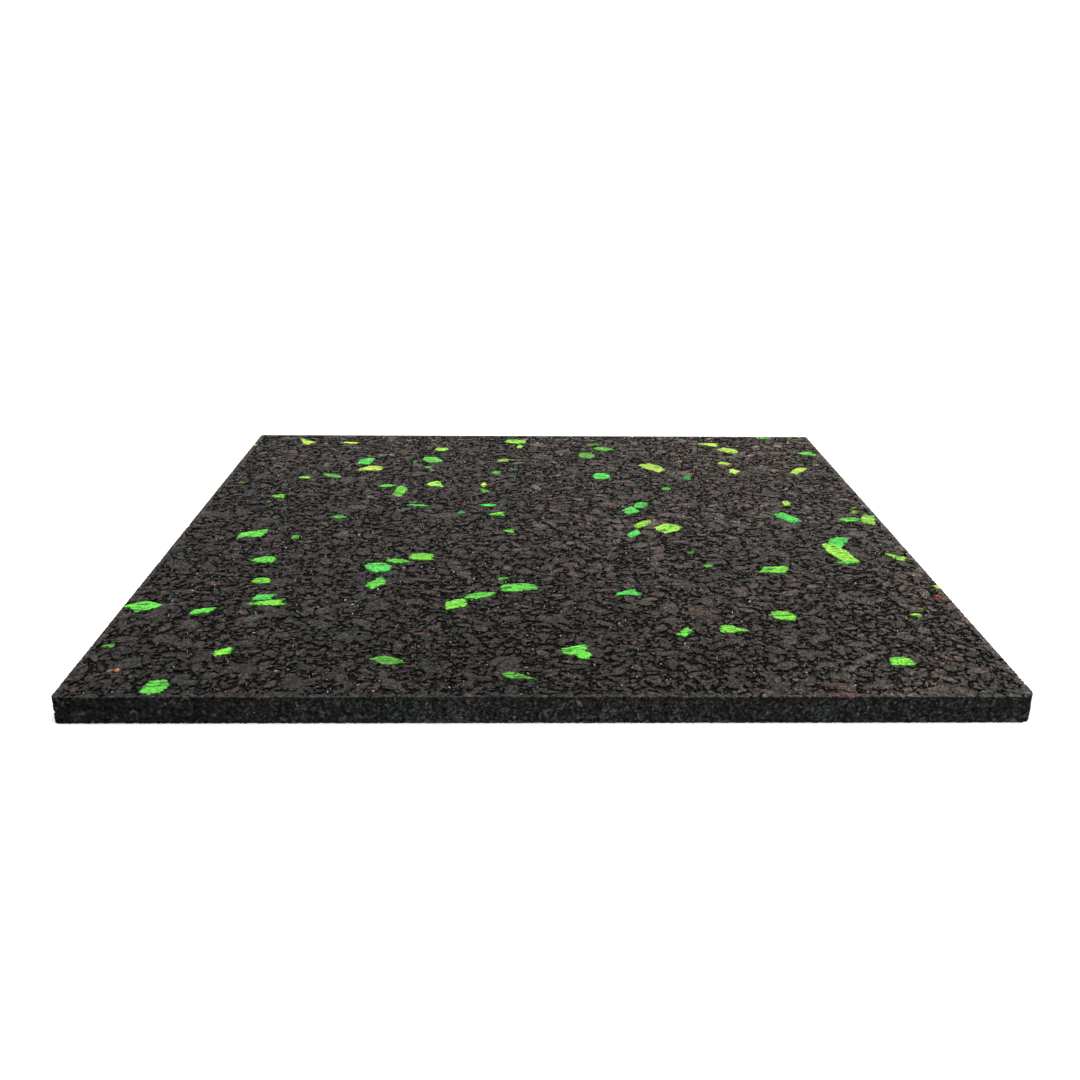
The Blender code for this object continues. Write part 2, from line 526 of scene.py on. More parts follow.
# %% Every flake: x, y, length, width in millimetres, heading in degrees, tone, form
FLAKES = [
    (-205.5, 229, 24, 11, -55, "yellow", "wedge"),
    (-166, 225, 19, 5, -5, "straw", "sliver"),
    (-248.5, 216, 6, 3, 80, "yellow", "sliver"),
    (-16, 231, 20, 13, -10, "citron", "slab"),
    (-13, 214, 11, 5, 85, "citron", "lump"),
    (-82, 205, 13, 10, 0, "citron", "lump"),
    (54, 221, 15, 3, 10, "leaf", "sliver"),
    (61, 208, 16, 11, -30, "leaf", "lean"),
    (45, 187, 16, 15, 0, "leaf", "lump"),
    (156.5, 223, 19, 11, -15, "yellow", "wedge"),
    (172, 203, 20, 14, -40, "yellow", "slab"),
    (239, 195, 17, 14, 0, "green", "wedge"),
    (212, 246, 16, 8, 0, "leaf", "sliver"),
    (235, 246, 4, 3, 0, "olive", "lump"),
    (-144, 167, 21, 14, 85, "emerald", "slab"),
    (-88, 172, 21, 15, -60, "green", "lump"),
    (-102, 166, 9, 4, 90, "moss", "sliver"),
    (-90, 150, 7, 5, 0, "leaf", "lump"),
    (-27, 171, 12, 9, 0, "mustard", "lean"),
    (161, 164, 11, 9, 0, "yellow", "lump"),
    (99, 151, 28, 15, -55, "yellow", "slab"),
    (166, 141, 15, 9, 75, "yellow", "lean"),
    (220, 144, 24, 9, 55, "yellow", "slab"),
    (-139, 145, 25, 18, 210, "straw", "drop"),
    (-32, 136, 8, 8, 0, "leaf", "lump"),
    (-18, 145, 6, 5, 0, "moss", "lump"),
    (54, 127, 19, 15, 90, "emerald", "lump"),
    (124, 124, 12, 7, 80, "moss", "slab"),
    (-166, 126, 22, 9, -35, "leaf", "sliver"),
    (-187, 121, 11, 7, 0, "citron", "wedge"),
    (251, 125, 5, 4, 0, "moss", "lump"),
    (-235, 107, 5, 3, 0, "olive", "lump"),
    (-119, 100, 14, 8, 0, "green", "sliver"),
    (-79, 103, 19, 16, -40, "citron", "drop"),
    (-42, 103, 11, 5, 85, "straw", "sliver"),
    (-41, 88, 13, 6, -60, "leaf", "wedge"),
    (-107, 86, 28, 11, 78, "lime", "lean"),
    (103, 94, 8, 7, 0, "leaf", "lump"),
    (-199, 73, 11, 9, 0, "lime", "wedge"),
    (-250.5, 94, 9, 4, 80, "green", "sliver"),
    (-91, 52, 17, 4, -8, "emerald", "sliver"),
    (-36, 53, 15, 6, -5, "emerald", "sliver"),
    (79, 54, 14, 10, 70, "emerald", "slab"),
    (70, 41, 16, 13, 40, "emerald", "lean"),
    (191, 58, 13, 6, 85, "yellow", "lump"),
    (-204, 60, 3, 3, 0, "olive", "lump"),
    (-57, 35, 9, 5, 70, "moss", "lump"),
    (-30, 32, 12, 9, 0, "lime", "wedge"),
    (-146, 25, 11, 8, 20, "green", "wedge"),
    (185, 25, 25, 13, -60, "emerald", "slab"),
    (238, 39, 9, 5, 60, "olive", "sliver"),
    (230, 22, 19, 11, -10, "green", "sliver"),
    (244, 22, 23, 11, 80, "citron", "slab"),
    (252, -106, 10, 5, 110, "yellow", "wedge"),
    (240, 48, 3, 2, 0, "olive", "lump"),
    (76, 11, 26, 10, 50, "citron", "sliver"),
    (93, 3, 22, 18, 45, "citron", "slab"),
    (68, -9, 17, 8, 50, "emerald", "lean"),
    (-21, -4, 7, 7, 0, "lime", "wedge"),
    (-201, -11, 25, 14, 20, "green", "lean"),
    (-170, -17, 8, 5, 80, "leaf", "lump"),
    (209, -24, 20, 13, 60, "emerald", "slab"),
    (204, -45, 38, 14, 105, "citron", "slab"),
    (205, -63, 16, 6, 0, "green", "sliver"),
    (240.5, -53, 16, 8, -50, "citron", "wedge"),
    (103, -46, 5, 4, 40, "moss", "lump"),
    (-79, -54, 18, 13, 0, "lime", "slab"),
    (-94, -62, 16, 8, -20, "green", "sliver"),
    (-105, -73, 21, 16, -30, "emerald", "lump"),
    (-182, -60, 14, 13, 0, "green", "lump"),
    (154, -76, 24, 12, 0, "lime", "lean"),
    (111, -70, 7, 5, 0, "leaf", "lump"),
    (-176.5, -96, 12, 10, 0, "lime", "lump"),
    (-103.5, -100, 19, 10, 55, "green", "lean"),
    (-24, -92, 7, 5, 20, "leaf", "sliver"),
    (-14, -106, 24, 13, 10, "green", "slab"),
    (-38, -119, 24, 10, 15, "green", "sliver"),
    (-52.5, -132, 19, 13, 25, "lime", "lean"),
    (54, -115, 16, 11, 15, "emerald", "wedge"),
    (-169.5, -122, 16, 9, 10, "emerald", "lean"),
    (-165, -131, 24, 11, 8, "lime", "wedge"),
    (-238, -136, 20, 17, -40, "green", "lean"),
    (-246, -135, 9, 4, 20, "green", "sliver"),
    (-202, -143, 17, 8, 15, "green", "lean"),
    (143, -149, 16, 14, -20, "lime", "slab"),
    (223, -148, 6, 4, 0, "citron", "lump"),
    (229, -139, 3, 2, 0, "olive", "lump"),
    (111, -168, 18, 12, -10, "lime", "drop"),
    (82, -172, 14, 6, 55, "green", "lean"),
    (-176, -197, 14, 8, 30, "lime", "lean"),
    (-84.5, -207.5, 19, 11, -35, "leaf", "lean"),
    (17.5, -197, 18, 19, 0, "green", "wedge"),
    (195, -209, 13, 11, 0, "lime", "slab"),
    (-240.5, -190, 7, 5, 0, "leaf", "wedge"),
    (-13, -226, 20, 8, -20, "leaf", "drop"),
    (-201, -238, 17, 14, 80, "green", "lump"),
]
print(len(FLAKES), "green flakes")

# %% [markdown]
# ## Shaping the flakes
# A flake is the same kind of solid as a black grain, with a crown, rings and a foot, but its outline comes
# from its form. Each form is walked at even steps, and every step is nudged to tear the edge, then nudged
# again along x, because the ends of the flakes are frayed the way that the streaks run. The face is
# almost level with the mould, a hair above the black chips round it, so nothing black hides its outline.
# The places in the list were read off a little too wide and too far right, so two numbers draw them in.

# %% Walk a form into a torn outline
FLAKE_SIDES = 56
FLAKE_RINGS = 4
FORM_NUDGE = 0.07
DRAWN_IN = 0.97
TEAR_MM, MOST_TEAR = (0.75, 1.3)
FRAY_MM, MOST_FRAY = (0.55, 1.1)
SHOULDER_SHARE = 0.88
TUCKED_SHARE = 0.92
FLAKE_FOOT = -2.2


def walk_outline(corners, steps):
    """Points at even distances along a closed outline."""
    ends = np.roll(corners, -1, axis=0)
    runs = np.linalg.norm(ends - corners, axis=1)
    along = np.concatenate([[0.0], np.cumsum(runs)])
    asked = np.arange(steps) * along[-1] / steps
    closed = np.concatenate([corners, corners[:1]])
    return np.stack([np.interp(asked, along, closed[:, axis]) for axis in (0, 1)], axis=1)


def flake_points(dice, x, y, length, width, heading, form):
    """One flake under the tread, as points (points, 3) in metres."""
    corners = np.array(FLAKE_FORMS[form]) + dice.normal(0.0, FORM_NUDGE, (len(FLAKE_FORMS[form]), 2))
    corners = corners * (length / 2, width / 2)
    turn = math.radians(heading)
    spin = np.array([[math.cos(turn), math.sin(turn)], [-math.sin(turn), math.cos(turn)]])
    rim = walk_outline(corners, FLAKE_SIDES)
    middle = rim.mean(axis=0)
    tear = np.clip(dice.normal(0.0, TEAR_MM, (FLAKE_SIDES, 1)), -MOST_TEAR, MOST_TEAR)
    tear = tear / math.sqrt(length * width)
    rim = middle + (rim - middle) * (DRAWN_IN + tear)
    fray = np.clip(dice.normal(0.0, FRAY_MM, (FLAKE_SIDES, 1)), -MOST_FRAY, MOST_FRAY)
    rim = rim + fray * (math.cos(turn), -math.sin(turn))
    ridge = dice.uniform(-0.10, 0.04, FLAKE_SIDES)
    # From the top down: middle, inner ring, shoulder, rim, tucked ring and foot, heights in millimetres
    levels = [(middle[None], np.zeros(1))]
    levels.append((middle + (rim - middle) * dice.uniform(0.40, 0.60, (FLAKE_SIDES, 1)), ridge))
    levels.append((middle + (rim - middle) * SHOULDER_SHARE, dice.uniform(-0.16, 0.02, FLAKE_SIDES)))
    levels.append((rim, dice.uniform(-0.50, -0.12, FLAKE_SIDES)))
    levels.append((middle + (rim - middle) * TUCKED_SHARE, dice.uniform(-1.9, -1.4, FLAKE_SIDES)))
    levels.append((middle[None], np.array([FLAKE_FOOT])))
    flat = np.concatenate([level[0] for level in levels]) @ spin + (x, y)
    height = np.minimum(np.concatenate([level[1] for level in levels]), 0.0)
    return np.concatenate([flat, height[:, None]], axis=1) * MM


# %% [markdown]
# ## Dyeing and pressing the flakes
# The green heap is itself a mix of batches, from yellow to a bluish green. A ramp could pick a tone at
# random, but the eye knows which flake is which, so each has its batch from the list, a little stronger
# or weaker by chance, and slightly duller toward the front of the tile.

# %% Press every flake into the tile
FLAKE_TONES = {
    "straw": (0.560, 0.790, 0.110),
    "mustard": (0.340, 0.450, 0.085),
    "yellow": (0.440, 0.710, 0.088),
    "citron": (0.310, 0.700, 0.064),
    "lime": (0.190, 0.670, 0.046),
    "green": (0.120, 0.620, 0.056),
    "emerald": (0.082, 0.610, 0.088),
    "leaf": (0.105, 0.410, 0.042),
    "olive": (0.210, 0.340, 0.045),
    "moss": (0.045, 0.260, 0.045),
}
READ_SCALE = 0.9955
READ_SHIFT = -1.0
MOST_BELOW_FACE = 0.06
FLAKE_SIDE_GAP = 0.02 * MM
DULLER_PER_MM = 0.0004
flake_dice = np.random.default_rng(11)
flake_grains = []
flake_tints = []
for x, y, length, width, heading, tone, form in FLAKES:
    grain = flake_points(flake_dice, READ_SCALE * x + READ_SHIFT, y, length, width, heading, form)
    grain[:, 2] += TREAD - flake_dice.uniform(0.0, MOST_BELOW_FACE) * MM
    flake_grains.append(squeeze_into_mould(grain, side_gap=FLAKE_SIDE_GAP))
    dye = np.array(FLAKE_TONES[tone]) * flake_dice.uniform(0.85, 1.12)
    flake_tints.append(dye * math.exp(DULLER_PER_MM * y))
flake_grains = np.array(flake_grains)
green_flakes = grain_object("green_flakes", flake_grains, np.array(flake_tints), FLAKE_SIDES, FLAKE_RINGS)
mark_covered(flake_grains, FLAKE_SIDES, FLAKE_RINGS)
flake_ground = covered.copy()
print(f"flakes cover {covered.mean():.1%} of the tread")

# %% [markdown]
# ## Chips, crumbs and dust on the tread
# The mix is laid from coarse to fine. Rim chips come first, because a pressed tile has a clean edge all
# round. Coarse chips take the open ground, medium crumbs fill between them, and fine crumbs sink into
# what is left. Each size lies a little deeper than the last, and the depth of the gaps, with painted shade
# on the deeper grains, is what makes the tread look black between its grey faces.

# %% Spots along the rim
RIM_PITCH = 3.1
FROM_EDGE = (0.6, 2.6)


def rim_spots(dice, pitch):
    """Spots just inside the four edges of the tread."""
    count = int(round(SIDE_MM / pitch))
    spots = []
    for turn in range(4):
        along = (np.arange(count) + 0.5 + dice.uniform(-0.4, 0.4, count)) * pitch - SIDE_MM / 2
        inward = SIDE_MM / 2 - dice.uniform(*FROM_EDGE, count)
        x, y = (along, -inward)
        for _ in range(turn):
            x, y = (-y, x)
        spots.append(np.stack([x, y], axis=1))
    return np.concatenate(spots)


# %% Lay grains on the tread
RIM_BAND = 6.0
LEAST_DROP = 0.4
SHADE_PER_MM = 0.5
TREAD_SIDE_GAP = (0.22, 0.38)
TREAD_RIM_SHADE = 0.58


def lay_on_tread(name, dice, spots, length, width, drop, sides, rings, slope, tints, speckle=0.0, slump=0.4):
    """Grains pressed into the tread; of those that fall on a flake only the share `speckle` stays."""
    on_flake = flake_ground[chart_cells(spots)]
    keep = ~on_flake | (dice.uniform(0.0, 1.0, len(spots)) < speckle)
    from_rim = SIDE_MM / 2 - np.abs(spots).max(axis=1)
    drop = np.where(on_flake, 0.0, drop * np.clip(from_rim / RIM_BAND, LEAST_DROP, 1.0))
    # Painted shade: the deeper a grain sinks, the darker its tint, as shade gathers in the gaps.
    tints = tints * (1.0 - SHADE_PER_MM * np.clip(drop, 0.0, 1.0))[:, None]
    spots, length, width, drop, tints = (a[keep] for a in (spots, length, width, drop, tints))
    grains = pressed_grains(dice, spots, length, width, drop, sides, rings, slope, slump=slump)
    grains[..., 2] += TREAD
    side_gap = dice.uniform(*TREAD_SIDE_GAP, (len(spots), 1)) * MM
    grains = squeeze_into_mould(grains, side_gap=side_gap)
    mark_covered(grains, sides, rings)
    piece = grain_object(name, grains, tints, sides, rings, rim_shade=TREAD_RIM_SHADE)
    piece.data.materials.append(tread_rubber)
    print(f"covered so far: {covered.mean():.1%}")
    return piece


# %% [markdown]
# ## Chips along the rim
# Where the tread meets the sides the mould's corner packs the grains hard, so the top edge is a crisp,
# nearly unbroken line. A bevel would be as straight but as smooth as plastic. A close row of chips that
# hardly sag keeps the line straight and still lets it be made of rubber.

# %% Rim chips
rim_dice = np.random.default_rng(21)
spots = rim_spots(rim_dice, RIM_PITCH)
length = rim_dice.uniform(4.0, 9.0, len(spots))
rim_chips = lay_on_tread(
    "rim_chips", rim_dice, spots, length, length * rim_dice.uniform(0.5, 0.9, len(spots)),
    rim_dice.uniform(0.07, 0.16, len(spots)), sides=9, rings=3, slope=0.02,
    tints=black_tints(rim_dice, spots), slump=0.12,
)

# %% [markdown]
# ## Coarse chips
# These are the flat slivers about a centimetre long that give the tread its flagstone look. A Voronoi
# pattern in bump would draw such cells, but they would all be round and none would lie over another.
# Chips of many sizes, with a few large ones among them, overlap as the real ones do.

# %% Coarse chips
coarse_dice = np.random.default_rng(31)
spots = raked_spots(coarse_dice, 9.35)
length = np.clip(coarse_dice.lognormal(2.19, 0.36, len(spots)), 4.5, 22.0)
width = length * coarse_dice.uniform(0.34, 0.80, len(spots))
drop = 0.07 + 0.34 * coarse_dice.uniform(0.0, 1.0, len(spots)) ** 2
coarse_chips = lay_on_tread(
    "coarse_chips", coarse_dice, spots, length, width, drop, sides=11, rings=3, slope=0.055,
    tints=black_tints(coarse_dice, spots),
)

# %% [markdown]
# ## Medium crumbs
# Between the chips lie crumbs the size of a rice grain. Scattering them everywhere would bury the chips,
# so the chart is asked first and only bare ground gets one. They lie deeper and lean more, which breaks
# up the light.

# %% Medium crumbs between the chips
medium_dice = np.random.default_rng(41)
spots = raked_spots(medium_dice, 4.2)
spots = spots[~covered[chart_cells(spots)]]
length = medium_dice.uniform(3.2, 7.5, len(spots))
width = length * medium_dice.uniform(0.38, 0.88, len(spots))
drop = 0.08 + 0.46 * medium_dice.uniform(0.0, 1.0, len(spots)) ** 1.5
medium_crumbs = lay_on_tread(
    "medium_crumbs", medium_dice, spots, length, width, drop, sides=6, rings=2, slope=0.12,
    tints=black_tints(medium_dice, spots, spread=0.28, red=0.015, teal=0.006),
)

# %% [markdown]
# ## Fine crumbs
# The last gaps hold dust and crumbs of a millimetre or three. Noise in the bump could stand for them, but
# it would lie at one depth. As meshes they sink by up to a millimetre, and their tones differ most of all,
# with a few pale ones that are partly dust and partly painted glints. A few also stick to the flakes.

# %% Fine crumbs in what is left
fine_dice = np.random.default_rng(51)
spots = raked_spots(fine_dice, 2.3)
spots = spots[~covered[chart_cells(spots)] | flake_ground[chart_cells(spots)]]
length = fine_dice.uniform(0.9, 3.3, len(spots))
width = length * fine_dice.uniform(0.38, 0.90, len(spots))
drop = 0.20 + 0.85 * fine_dice.uniform(0.0, 1.0, len(spots))
fine_crumbs = lay_on_tread(
    "fine_crumbs", fine_dice, spots, length, width, drop, sides=4, rings=2, slope=0.20,
    tints=black_tints(fine_dice, spots, spread=0.54, red=0.012, teal=0.01, dust_and_glints=0.05), speckle=0.06,
)

# %% [markdown]
# ## Pale grit and painted glints
# Specks under a millimetre across lie on the faces, partly mineral dust and partly painted glints, pale
# where the rubber would catch the light, more of them toward the back. White dots in the finish would be
# flat and would blur, so each speck is a tiny crumb.

# %% Pale grit and painted glints on the faces
PALE_GRIT_AND_GLINT = np.array([0.55, 0.54, 0.52])
GRIT_AND_GLINT_FRONT, GRIT_AND_GLINT_BACK = (0.40, 0.55)
grit_dice = np.random.default_rng(55)
spots = raked_spots(grit_dice, 8.4)
farther_back = 0.5 + 0.5 * spots[:, 1] / (SIDE_MM / 2)
spots = spots[grit_dice.uniform(0.0, 1.0, len(spots)) < GRIT_AND_GLINT_FRONT + GRIT_AND_GLINT_BACK * farther_back]
length = grit_dice.uniform(0.35, 0.85, len(spots))
drop = grit_dice.uniform(0.0, 0.30, len(spots))
# Painted highlights: part of these pale specks stand for glints.
pale_grit_and_glints = lay_on_tread(
    "pale_grit_and_glints", grit_dice, spots, length, length * grit_dice.uniform(0.5, 1.0, len(spots)), drop,
    sides=4, rings=2, slope=0.25, tints=PALE_GRIT_AND_GLINT * grit_dice.uniform(0.20, 1.55, (len(spots), 1)),
)

# %% [markdown]
# ## The four sides
# The sides are pressed against steel, so their grains are flush, packed tight and smaller to the eye,
# because they lie on edge. They are darker than the tread, partly because the tread catches dust and
# partly as painted shade on sides that face away from the light. The same grain maker serves: it lays a
# flat strip of grains as long as the way round the tile, and the strip is then bent round the four sides
# and their rounded corners, so no corner shows a seam. A band under the top edge is duller, and so is
# the left end of the front side.

# %% Bend a strip of grains round the sides
END_RADII = np.array([RIGHT_FRONT, RIGHT_BACK, LEFT_BACK, LEFT_FRONT])
START_RADII = np.roll(END_RADII, 1)
STRAIGHT_RUNS = 2 * HALF_SIDE - START_RADII - END_RADII
RUN_ENDS = np.cumsum(STRAIGHT_RUNS + END_RADII * math.pi / 2)
ROUND_RUN = RUN_ENDS[-1]
SMALLEST_BEND = 0.1 * MM


def wrap_round_sides(grains):
    """Grains made flat, x along the rim, y up and z outward, bent round the four sides and corners."""
    along = np.mod(grains[..., 0], ROUND_RUN)
    side = np.minimum(np.searchsorted(RUN_ENDS, along, side="right"), 3)
    local = along - np.concatenate([[0.0], RUN_ENDS])[side]
    straight = STRAIGHT_RUNS[side]
    corner = END_RADII[side]
    bend = np.maximum(local - straight, 0.0) / corner
    radius = np.maximum(corner + grains[..., 2], SMALLEST_BEND)
    flat_y = -HALF_SIDE - grains[..., 2]
    x = np.minimum(local, straight) + START_RADII[side] - HALF_SIDE + radius * np.sin(bend)
    y = np.where(bend > 0.0, -HALF_SIDE + corner - radius * np.cos(bend), flat_y)
    turn = side * math.pi / 2
    turned_x = x * np.cos(turn) - y * np.sin(turn)
    turned_y = x * np.sin(turn) + y * np.cos(turn)
    return np.stack([turned_x, turned_y, grains[..., 1] + TREAD / 2], axis=-1)


# %% Crumbs on the sides
edge_dice = np.random.default_rng(61)
# Side tones: partly their own darker tone, partly painted shade for faces that look sideways.
EDGE_SOOT_AND_SHADE = np.array([0.0135, 0.0148, 0.0152])
EDGE_GREY_AND_SHADE = np.array([0.0255, 0.0270, 0.0272])
ARRIS_BAND = 1.8
ARRIS_SHADE = 0.45
LEFT_END_REACH = 135.0
LEFT_END_DULLING = 0.70
LEFT_END_SPREAD = 0.55
EDGE_RIM_SHADE = 0.80
edge_rubber = black_rubber(
    "black_edge_rubber", mottle=(0.20, 1.80), strands=(0.45, 1.55), sheen=(0.55, 0.80), gloss=(0.0, 0.06),
)
spots = raked_spots(edge_dice, 2.2, wide=ROUND_RUN / MM, tall=TREAD / MM + 0.3)
length = edge_dice.uniform(1.8, 4.8, len(spots))
width = length * edge_dice.uniform(0.40, 0.85, len(spots))
drop = edge_dice.uniform(0.02, 0.20, len(spots))
flat_grains = pressed_grains(
    edge_dice, spots, length, width, drop, sides=6, rings=2, slope=0.06, thick=(0.8, 1.5), slump=0.2,
)
grains = wrap_round_sides(flat_grains)
gap = edge_dice.uniform(0.08, 0.25, (len(spots), 1)) * MM
grains = squeeze_into_mould(grains, side_gap=drop[:, None] * MM * 0.9, top_gap=gap, under_gap=gap * 0.3)
tints = black_tints(
    edge_dice, grains[:, 0, :2] / MM, spread=0.34, red=0.0, teal=0.04, dark=EDGE_SOOT_AND_SHADE, light=EDGE_GREY_AND_SHADE,
    even=True,
)
under_arris = spots[:, 1] > TREAD / MM / 2 - ARRIS_BAND
tints = tints * np.where(under_arris, ARRIS_SHADE, 1.0)[:, None]
from_left = grains[:, 0, 0] / MM + SIDE_MM / 2
near_front = np.clip(-grains[:, 0, 1] / HALF_SIDE, 0.0, 1.0)
dulled = near_front * np.exp(-((from_left / LEFT_END_REACH) ** 2))
uneven = np.exp(edge_dice.normal(0.0, LEFT_END_SPREAD, len(spots)) * dulled)
tints = tints * ((1.0 - LEFT_END_DULLING * dulled) * uneven)[:, None]
edge_crumbs = grain_object("edge_crumbs", grains, tints, 6, 2, rim_shade=EDGE_RIM_SHADE)
edge_crumbs.data.materials.append(edge_rubber)

# %% [markdown]
# ## The underside
# Nobody sees it, but a part that is picked up and turned over should not be hollow or bare. The mould's
# floor is flat, so a layer of large, level grains is made as for the tread and then turned over.

# %% Crumbs on the underside
UNDERSIDE_RIM = 4.0
under_dice = np.random.default_rng(71)
spots = raked_spots(under_dice, 10.5, wide=SIDE_MM - UNDERSIDE_RIM, tall=SIDE_MM - UNDERSIDE_RIM)
length = under_dice.uniform(9.0, 18.0, len(spots))
width = length * under_dice.uniform(0.55, 0.9, len(spots))
drop = under_dice.uniform(0.0, 0.18, len(spots))
grains = pressed_grains(
    under_dice, spots, length, width, drop, sides=8, rings=2, slope=0.004, thick=(0.8, 1.4),
)
grains = grains * (1, -1, -1)
grains = squeeze_into_mould(grains, side_gap=0.6 * MM, under_gap=drop[:, None] * MM)
underside_crumbs = grain_object(
    "underside_crumbs", grains,
    black_tints(under_dice, spots, red=0.0, teal=0.03, dark=EDGE_SOOT_AND_SHADE, light=EDGE_GREY_AND_SHADE, even=True), 8, 2,
)
underside_crumbs.data.materials.append(edge_rubber)

# %% [markdown]
# ## The body under the grains
# Between the grains the eye looks down into the mass of the tile. Filling it with more grains would cost
# thousands that nobody sees. The mass is one closed skin instead: two square sheets, joined round their
# edges by rings of wall, held a little inside the mould and roughened with noise, so no gap shows a hole.
# Blender could extrude one sheet into the slab, but the side faces then come in another order each time.

# %% The points and faces of a closed box of cells
BODY_CELLS = 130
WALL_CELLS = 7


def box_skin():
    """Points, and faces of four corners each, of a box: a floor sheet, a bed sheet and rings of wall."""
    across = BODY_CELLS + 1
    steps = np.linspace(-HALF_SIDE, HALF_SIDE, across)
    x, y = np.meshgrid(steps, steps)
    sheet = np.arange(x.size).reshape(across, across)
    rim = np.concatenate([sheet[0, :-1], sheet[:-1, -1], sheet[-1, :0:-1], sheet[:0:-1, 0]])
    floor_points = np.stack([x.ravel(), y.ravel(), np.zeros(x.size)], axis=1)
    points = [floor_points, floor_points + (0.0, 0.0, TREAD)]
    rings = [rim]
    for level in range(1, WALL_CELLS):
        rings.append(2 * x.size + (level - 1) * len(rim) + np.arange(len(rim)))
        points.append(floor_points[rim] + (0.0, 0.0, TREAD * level / WALL_CELLS))
    rings.append(rim + x.size)
    corners = (sheet[:-1, :-1], sheet[:-1, 1:], sheet[1:, 1:], sheet[1:, :-1])
    bed = np.stack([corner.ravel() for corner in corners], axis=1)
    faces = [bed[:, ::-1], bed + x.size]
    for lower, upper in zip(rings, rings[1:]):
        faces.append(np.stack([lower, np.roll(lower, -1), np.roll(upper, -1), upper], axis=1))
    return np.concatenate(points), np.concatenate(faces)


# %% A rough slab inside the mould
BODY_SIDE_GAP = 0.50 * MM
BODY_BED_DEPTH = 1.5 * MM
BODY_UNDER_GAP = 0.30 * MM
BED_SWELL, SIDE_SWELL, UNDER_SWELL = (0.45 * MM, 0.20 * MM, 0.10 * MM)
BED_PITCH, SIDE_PITCH = (2.5 * MM, 3.0 * MM)
BODY_SHADE = 0.50
NEAR_TOP = 0.99


def rough(point, pitch, seed):
    """Noise from -1 to 1 at a point, with features about `pitch` metres across."""
    return noise.noise(Vector(point) / pitch + Vector((seed, 0.0, 0.0)))


def body_mesh():
    """The closed skin of the body."""
    points, faces = box_skin()
    for spot in points:
        if spot[2] > TREAD * NEAR_TOP:
            spot[2] -= BODY_BED_DEPTH + BED_SWELL * rough(spot, BED_PITCH, seed=3.0)
        gap = BODY_SIDE_GAP + SIDE_SWELL * rough(spot, SIDE_PITCH, seed=9.0)
        under = BODY_UNDER_GAP + UNDER_SWELL * rough(spot, SIDE_PITCH, seed=17.0)
        spot[:] = squeeze_into_mould(spot, side_gap=gap, under_gap=under)
    data = bpy.data.meshes.new("crumb_body")
    data.from_pydata(points.tolist(), [], faces.tolist())
    data.validate()
    return data


crumb_body = bpy.data.objects.new("crumb_body", body_mesh())
bpy.context.scene.collection.objects.link(crumb_body)
body_tint = crumb_body.data.color_attributes.new(name=TINT, type="FLOAT_COLOR", domain="POINT")
# Painted shade: the body takes half the soot tone, so the gaps down to it read darker.
for value in body_tint.data:
    value.color = (*(SOOT * BODY_SHADE), 1.0)
crumb_body.data.materials.append(edge_rubber)
print("crumb_body:", len(crumb_body.data.polygons), "faces")

# %% [markdown]
# ## Strays
# A few grains come from other things than tyres: rusty ones on the right edge, a bright orange one near
# the left front corner with a pale painted glint on it, and some dull brown-red ones. Painting them on
# would leave them flat. They are made as flakes are, each in its place, in a finish of their own.

# %% Place the strays
STRAYS = [
    (245.5, -120, 4, 4, 0, (0.330, 0.080, 0.040), "wedge"),
    (247.5, -124, 3, 3, 0, (0.260, 0.080, 0.045), "lump"),
    (243.5, -124, 3, 3, 20, (0.180, 0.045, 0.028), "lump"),
    (-227, -219, 5, 3, 10, (0.550, 0.220, 0.110), "wedge"),
    # Painted highlight: this pale crumb on the orange stray stands for a glint on it.
    (-230, -220, 2, 2, 0, (0.450, 0.330, 0.250), "lump"),
    (-70, -174, 9, 3, 0, (0.100, 0.040, 0.018), "sliver"),
    (155, -246, 14, 3, 0, (0.110, 0.050, 0.040), "sliver"),
    (151, -236, 15, 5, 0, (0.050, 0.028, 0.022), "sliver"),
    (78, 85, 4, 3, 30, (0.280, 0.100, 0.055), "lump"),
]
stray_dice = np.random.default_rng(81)
stray_grains = []
for x, y, length, width, heading, colour, form in STRAYS:
    grain = flake_points(stray_dice, READ_SCALE * x + READ_SHIFT, y, length, width, heading, form)
    grain[:, 2] += TREAD
    stray_grains.append(squeeze_into_mould(grain, side_gap=FLAKE_SIDE_GAP))
stray_tints = np.array([colour for *_, colour, form in STRAYS])
stray_crumbs = grain_object("stray_crumbs", np.array(stray_grains), stray_tints, FLAKE_SIDES, FLAKE_RINGS)

# %% [markdown]
# ## The finish of the flakes
# The flakes are dyed right through, so their colour is clean, but black dust is rubbed into every pit.
# A dirt mask painted by hand would suit one flake. Noise in the object's coordinates suits them all: fine
# dark pits eat into the green, most of all in streaks along one way of the tile.

# %% Dyed rubber
DYED_GLOSS = 0.15
GREEN_DUST = (0.014, 0.070, 0.011, 1.0)
RUST_DUST = (0.030, 0.014, 0.010, 1.0)


